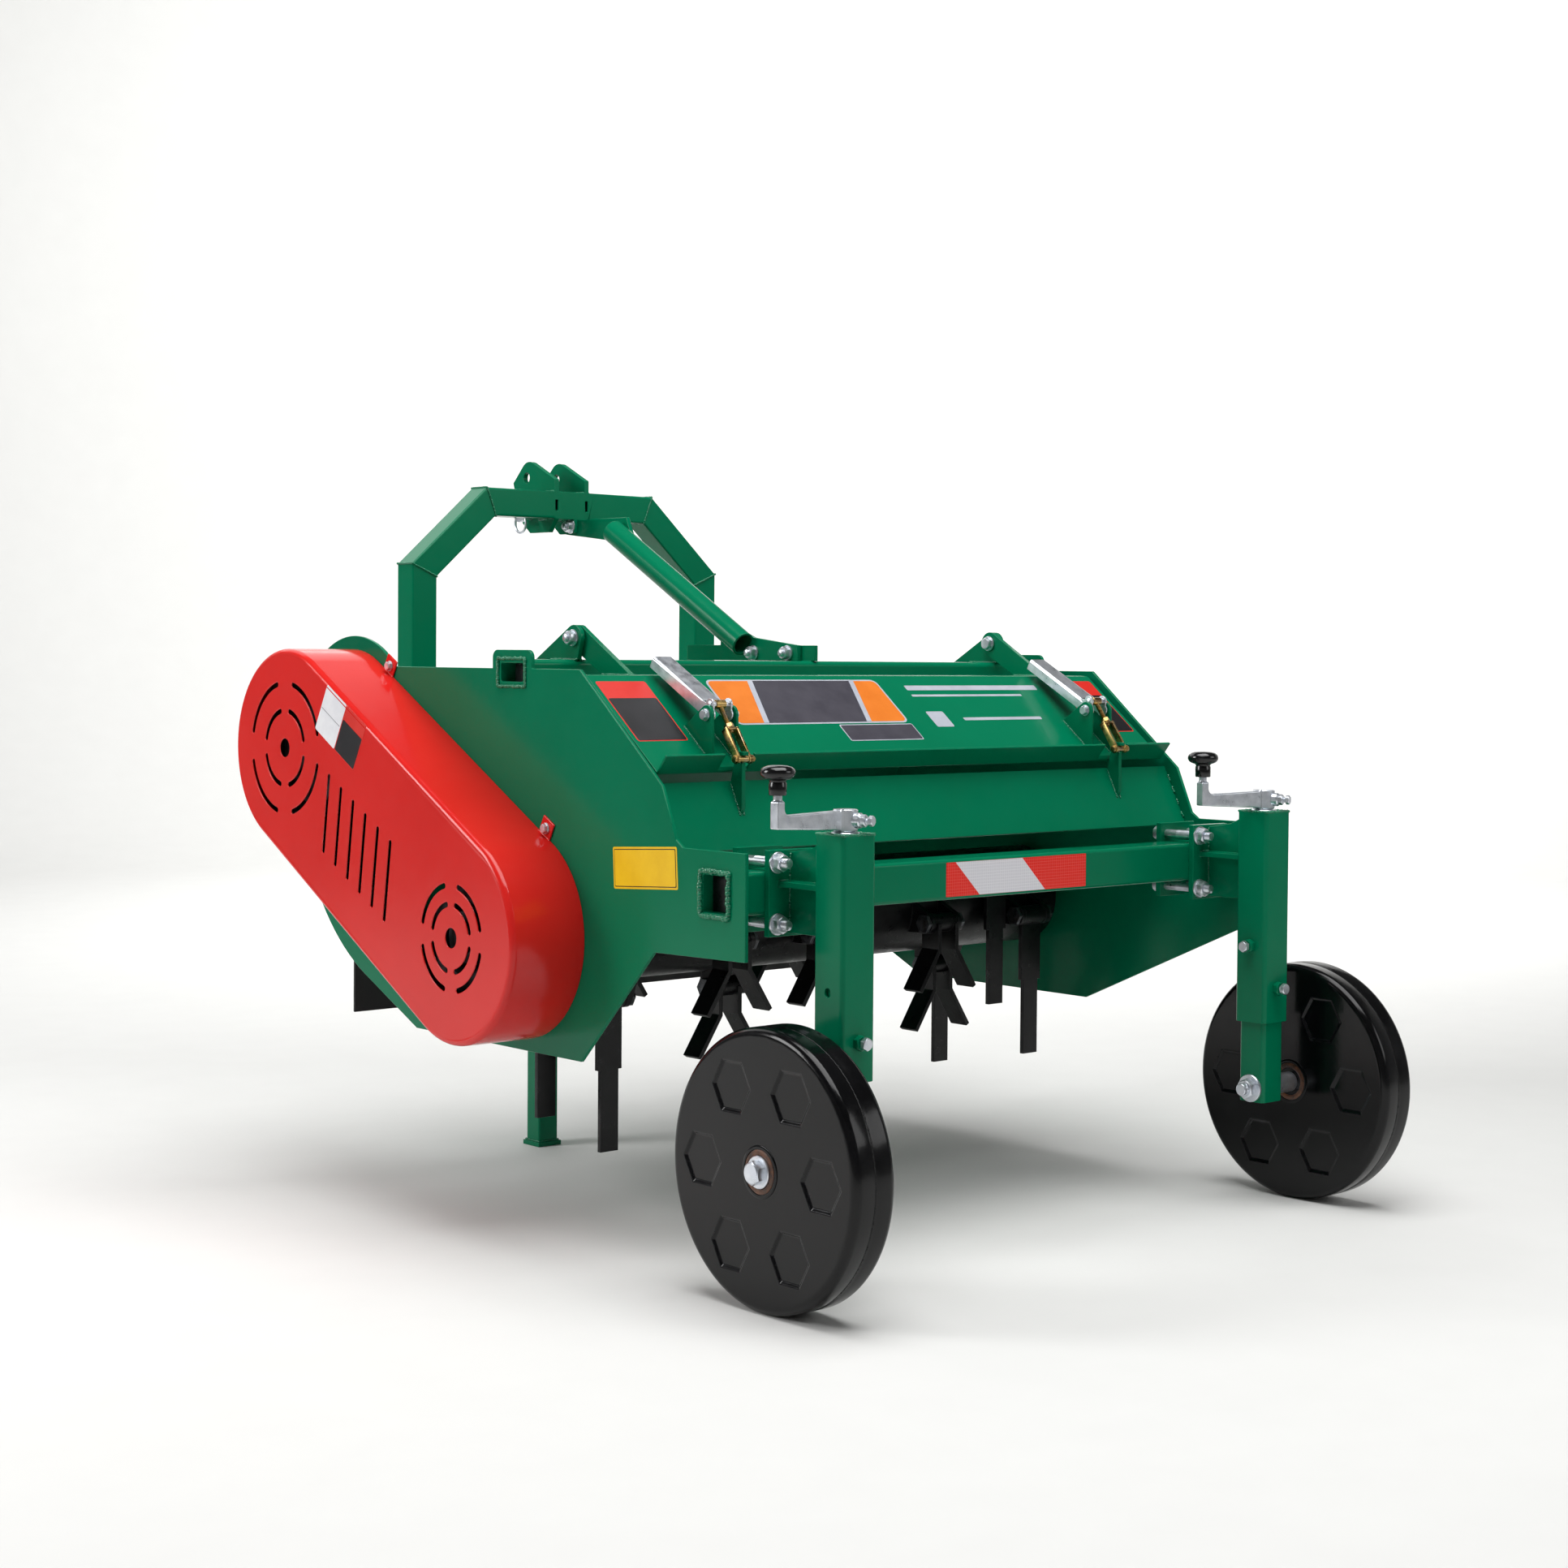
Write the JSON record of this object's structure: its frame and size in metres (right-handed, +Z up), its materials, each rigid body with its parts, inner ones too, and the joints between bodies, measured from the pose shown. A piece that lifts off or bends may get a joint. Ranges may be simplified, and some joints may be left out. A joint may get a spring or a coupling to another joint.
{
  "type": "potato haulm topper",
  "caption": "Tractor-mounted potato haulm topper with a flail rotor under a hood, side belt drive, hinged rear cover, depth wheels and a three-point headstock.",
  "frame": {"origin": "bottom centre of the whole machine, on the ground", "axes": "+X right seen from behind, +Y forward to the tractor, +Z up"},
  "size_m": [1.2846, 1.585, 1.2235],
  "materials": {
    "green_paint": "gloss",
    "red_paint": "gloss",
    "black_paint": "gloss",
    "zinc_steel": "satin",
    "yellow_zinc": "satin",
    "bare_steel": "machined",
    "cast_housing": "painted",
    "cast_pulley": "matte",
    "skirt_rubber": "matte",
    "belt_rubber": "matte",
    "wheel_paint": "gloss",
    "knob_plastic": "gloss"
  },
  "bodies": {
    "chassis": {"left_side_plate": "green_paint", "right_side_plate": "green_paint", "hood_sheet": "green_paint", "lower_rear_panel": "green_paint", "top_cross_tube": "green_paint", "rear_beam": "green_paint", "front_beam": "green_paint", "headstock_frame": "green_paint", "lower_link_pins": "zinc_steel", "brace": "green_paint", "gearbox_housing": "cast_housing", "shaft_tube": "green_paint", "belt_guard": "red_paint", "bearing_housings": "cast_housing", "front_skirt": "skirt_rubber", "skirt_strip": "green_paint", "front_clamp_plates": "green_paint", "left_leg_sleeve": "green_paint", "right_leg_sleeve": "green_paint", "clamp_bolts": "zinc_steel", "frame_bolts": "zinc_steel", "hinge_pins": "zinc_steel", "v_belts": "belt_rubber"},
    "input_drive": {"input_shaft": "bare_steel", "bevel_gear": "bare_steel"},
    "cross_drive": {"cross_shaft": "bare_steel", "upper_pulley": "cast_pulley"},
    "rotor": {"rotor_drum": "black_paint", "lower_pulley": "cast_pulley", "flail_bolts": "black_paint"},
    "flail_01": {"flail_01": "black_paint"},
    "flail_02": {"flail_02": "black_paint"},
    "flail_03": {"flail_03": "black_paint"},
    "flail_04": {"flail_04": "black_paint"},
    "flail_05": {"flail_05": "black_paint"},
    "flail_06": {"flail_06": "black_paint"},
    "flail_07": {"flail_07": "black_paint"},
    "flail_08": {"flail_08": "black_paint"},
    "flail_09": {"flail_09": "black_paint"},
    "flail_10": {"flail_10": "black_paint"},
    "flail_11": {"flail_11": "black_paint"},
    "flail_12": {"flail_12": "black_paint"},
    "rear_cover": {"rear_cover": "green_paint", "latch_pins": "zinc_steel"},
    "left_latch_handle": {"left_latch_handle": "zinc_steel"},
    "left_latch_link": {"left_latch_link": "yellow_zinc"},
    "left_leg": {"left_inner_leg": "green_paint", "left_axle": "zinc_steel"},
    "left_wheel": {"left_wheel": "wheel_paint"},
    "left_crank": {"left_crank": "zinc_steel"},
    "left_crank_knob": {"left_crank_knob": "knob_plastic"},
    "right_latch_handle": {"right_latch_handle": "zinc_steel"},
    "right_latch_link": {"right_latch_link": "yellow_zinc"},
    "right_leg": {"right_inner_leg": "green_paint", "right_axle": "zinc_steel"},
    "right_wheel": {"right_wheel": "wheel_paint"},
    "right_crank": {"right_crank": "zinc_steel"},
    "right_crank_knob": {"right_crank_knob": "knob_plastic"},
    "parking_stand": {"parking_stand": "green_paint"},
    "top_link_pin": {"top_link_pin": "zinc_steel"}
  },
  "joints": [
    {"name": "rotor_spin", "type": "hinge", "parent": "chassis", "child": "rotor", "pos_m": [0.03475, 0.0075, 0.452], "axis": [1, 0, 0], "continuous": true},
    {"name": "cross_spin", "type": "hinge", "parent": "chassis", "child": "cross_drive", "pos_m": [0.03475, 0.4925, 0.716], "axis": [1, 0, 0], "continuous": true},
    {"name": "input_spin", "type": "hinge", "parent": "chassis", "child": "input_drive", "pos_m": [0.03475, 0.4925, 0.716], "axis": [0, 1, 0], "continuous": true},
    {"name": "flail_01_swing", "type": "hinge", "parent": "rotor", "child": "flail_01", "pos_m": [-0.40309, 0.1073, 0.38719], "axis": [1, 0, 0], "range_deg": [-72, 186]},
    {"name": "flail_02_swing", "type": "hinge", "parent": "rotor", "child": "flail_02", "pos_m": [-0.33705, 0.03224, 0.3356], "axis": [1, 0, 0], "range_deg": [-117, 70]},
    {"name": "flail_03_swing", "type": "hinge", "parent": "rotor", "child": "flail_03", "pos_m": [-0.27101, 0.12451, 0.43031], "axis": [1, 0, 0], "range_deg": [-36, 195]},
    {"name": "flail_04_swing", "type": "hinge", "parent": "rotor", "child": "flail_04", "pos_m": [-0.20497, -0.1089, 0.42726], "axis": [1, 0, 0], "range_deg": [-194, 38]},
    {"name": "flail_05_swing", "type": "hinge", "parent": "rotor", "child": "flail_05", "pos_m": [-0.10929, 0.03224, 0.3356], "axis": [1, 0, 0], "range_deg": [-104, 128]},
    {"name": "flail_06_swing", "type": "hinge", "parent": "rotor", "child": "flail_06", "pos_m": [-0.01309, -0.1089, 0.42726], "axis": [1, 0, 0], "range_deg": [-194, 38]},
    {"name": "flail_07_swing", "type": "hinge", "parent": "rotor", "child": "flail_07", "pos_m": [0.08259, 0.12451, 0.43031], "axis": [1, 0, 0], "range_deg": [-36, 195]},
    {"name": "flail_08_swing", "type": "hinge", "parent": "rotor", "child": "flail_08", "pos_m": [0.24171, -0.1089, 0.42726], "axis": [1, 0, 0], "range_deg": [-194, 38]},
    {"name": "flail_09_swing", "type": "hinge", "parent": "rotor", "child": "flail_09", "pos_m": [0.36495, 0.03224, 0.3356], "axis": [1, 0, 0], "range_deg": [-104, 98]},
    {"name": "flail_10_swing", "type": "hinge", "parent": "rotor", "child": "flail_10", "pos_m": [0.38627, -0.0923, 0.51681], "axis": [1, 0, 0], "range_deg": [-252, 6]},
    {"name": "flail_11_swing", "type": "hinge", "parent": "rotor", "child": "flail_11", "pos_m": [0.44867, 0.1073, 0.38719], "axis": [1, 0, 0], "range_deg": [-58, 186]},
    {"name": "flail_12_swing", "type": "hinge", "parent": "rotor", "child": "flail_12", "pos_m": [0.45491, -0.1089, 0.42726], "axis": [1, 0, 0], "range_deg": [-207, 51]},
    {"name": "cover_open", "type": "hinge", "parent": "chassis", "child": "rear_cover", "pos_m": [0.03475, 0.0145, 0.895], "axis": [-1, 0, 0], "range_deg": [0, 98]},
    {"name": "left_latch_turn", "type": "hinge", "parent": "rear_cover", "child": "left_latch_handle", "pos_m": [-0.36725, -0.2755, 0.784], "axis": [1, 0, 0], "range_deg": [0, 120]},
    {"name": "left_link_turn", "type": "hinge", "parent": "left_latch_handle", "child": "left_latch_link", "pos_m": [-0.36725, -0.2755, 0.799], "axis": [1, 0, 0], "range_deg": [-120, 0]},
    {"name": "left_leg_height", "type": "slide", "parent": "chassis", "child": "left_leg", "axis": [0, 0, 1], "range_m": [-0.09, 0.07]},
    {"name": "left_wheel_roll", "type": "hinge", "parent": "left_leg", "child": "left_wheel", "pos_m": [-0.52025, -0.6025, 0.19], "axis": [1, 0, 0], "continuous": true},
    {"name": "left_crank_turn", "type": "hinge", "parent": "chassis", "child": "left_crank", "pos_m": [-0.41025, -0.6025, 0.63], "axis": [0, 0, 1], "range_deg": [-5400, 4200]},
    {"name": "left_knob_spin", "type": "hinge", "parent": "left_crank", "child": "left_crank_knob", "pos_m": [-0.53975, -0.61383, 0.664], "axis": [0, 0, 1], "continuous": true},
    {"name": "right_latch_turn", "type": "hinge", "parent": "rear_cover", "child": "right_latch_handle", "pos_m": [0.43675, -0.2755, 0.784], "axis": [1, 0, 0], "range_deg": [0, 120]},
    {"name": "right_link_turn", "type": "hinge", "parent": "right_latch_handle", "child": "right_latch_link", "pos_m": [0.43675, -0.2755, 0.799], "axis": [1, 0, 0], "range_deg": [-120, 0]},
    {"name": "right_leg_height", "type": "slide", "parent": "chassis", "child": "right_leg", "axis": [0, 0, 1], "range_m": [-0.09, 0.07]},
    {"name": "right_wheel_roll", "type": "hinge", "parent": "right_leg", "child": "right_wheel", "pos_m": [0.58975, -0.6025, 0.19], "axis": [1, 0, 0], "continuous": true},
    {"name": "right_crank_turn", "type": "hinge", "parent": "chassis", "child": "right_crank", "pos_m": [0.47975, -0.6025, 0.63], "axis": [0, 0, 1], "range_deg": [-5400, 4200]},
    {"name": "right_knob_spin", "type": "hinge", "parent": "right_crank", "child": "right_crank_knob", "pos_m": [0.35102, -0.58441, 0.664], "axis": [0, 0, 1], "continuous": true},
    {"name": "stand_height", "type": "slide", "parent": "chassis", "child": "parking_stand", "axis": [0, 0, 1], "range_m": [0, 0.25]},
    {"name": "top_link_pin_pull", "type": "slide", "parent": "chassis", "child": "top_link_pin", "axis": [-1, 0, 0], "range_m": [0, 0.14]}
  ],
  "couplings": [
    {"joint": "cross_spin", "follows": "rotor_spin", "ratio": 0.64},
    {"joint": "input_spin", "follows": "rotor_spin", "ratio": 0.36174},
    {"joint": "left_link_turn", "follows": "left_latch_turn", "ratio": -1},
    {"joint": "left_crank_turn", "follows": "left_leg_height", "rad_per_m": 1047.2},
    {"joint": "right_link_turn", "follows": "right_latch_turn", "ratio": -1},
    {"joint": "right_crank_turn", "follows": "right_leg_height", "rad_per_m": 1047.2}
  ]
}
